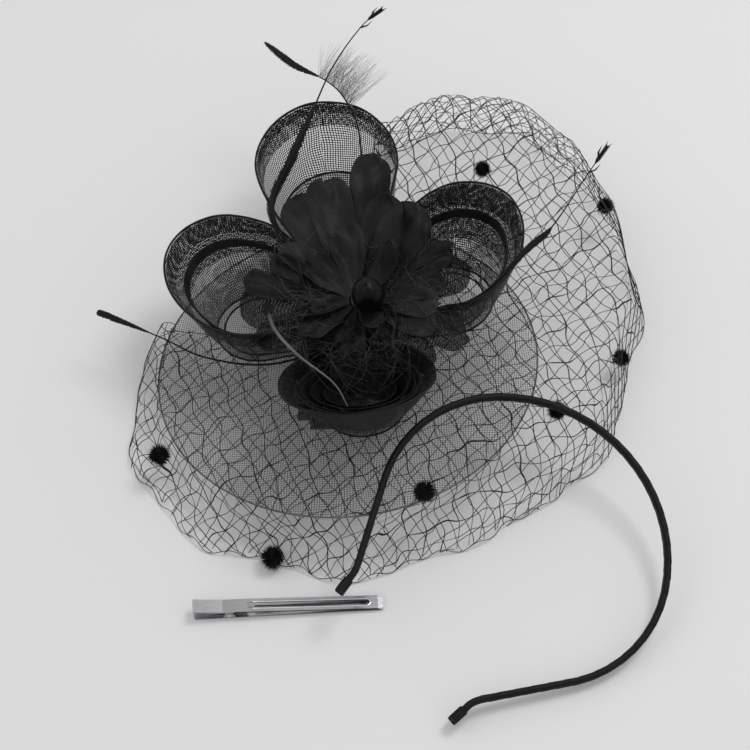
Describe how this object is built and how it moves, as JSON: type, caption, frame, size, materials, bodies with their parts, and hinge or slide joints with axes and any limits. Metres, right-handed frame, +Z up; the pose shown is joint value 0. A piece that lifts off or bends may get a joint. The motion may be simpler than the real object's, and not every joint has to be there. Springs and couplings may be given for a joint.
{
  "type": "fascinator headpiece",
  "caption": "Dark fascinator: woven saucer base with ribbon loops, satin flower, feathers and dotted net veil, with a loose hair clip and headband.",
  "frame": {"origin": "middle of the box of the whole set as it lies, at table height", "axes": "+Z up from the table, +Y away from the headband and the clip, +X to the right of the pictured view"},
  "size_m": [0.2332, 0.3034, 0.0841],
  "materials": {
    "sinamay": "open plain weave",
    "sinamay_hem": "folded woven edge",
    "sinamay_black": "open plain weave, doubled at the edges",
    "felt": "felt",
    "ribbon": "grosgrain",
    "netting": "knotted diamond net",
    "lace": "tinselled lace",
    "satin": "satin",
    "beaded_bud": "gloss",
    "feather": "stripped and trimmed feather",
    "chenille": "tufted",
    "band_satin": "wound satin ribbon",
    "nickel": "bright plate",
    "spring_steel": "drawn wire"
  },
  "bodies": {
    "headpiece": {"brim_disc": "sinamay", "brim_hem": "sinamay_hem", "chenille_dot_1": "chenille", "chenille_dot_2": "chenille", "chenille_dot_3": "chenille", "chenille_dot_4": "chenille", "chenille_dot_5": "chenille", "chenille_dot_6": "chenille", "chenille_dot_7": "chenille", "feather_down": "feather", "feather_front": "feather", "feather_lance": "feather", "feather_left": "feather", "feather_right": "feather", "feather_tall": "feather", "felt_pad": "felt", "flower_bud": "beaded_bud", "flower_stem": "felt", "lace_ruffle": "lace", "loop_back_inner": "sinamay_black", "loop_back_outer": "sinamay_black", "loop_front_inner": "sinamay_black", "loop_front_outer": "sinamay_black", "loop_left_inner": "sinamay_black", "loop_left_outer": "sinamay_black", "loop_right_inner": "sinamay_black", "loop_right_outer": "sinamay_black", "petals_back": "satin", "petals_inner": "satin", "petals_middle": "satin", "stitched_hub": "felt", "strap_back": "ribbon", "strap_front": "ribbon", "veil_gather": "netting", "veil_net": "netting"},
    "clip": {"clip_lower_arm": "nickel", "clip_pin": "spring_steel", "clip_spring": "spring_steel"},
    "clip_jaw": {"clip_upper_arm": "nickel"},
    "headband": {"headband_core": "spring_steel", "headband_cover": "band_satin", "tip_wrap_left": "band_satin", "tip_wrap_right": "band_satin"}
  },
  "joints": [
    {"name": "clip_away", "type": "slide", "parent": "headpiece", "child": "clip", "axis": [-0.9982, -0.0593, 0], "range_m": [0, 0.08]},
    {"name": "clip_open", "type": "hinge", "parent": "clip", "child": "clip_jaw", "pos_m": [-0.05733, -0.10177, 0.0026], "axis": [0.0593, -0.9982, 0], "range_deg": [0, 18], "stiffness_Nm_per_rad": 0.02, "springref_deg": -5.73, "deforming": ["clip_spring"]},
    {"name": "headband_lift", "type": "slide", "parent": "headpiece", "child": "headband", "axis": [0.5, -0.5, 0.7071], "range_m": [0, 0.08]}
  ]
}
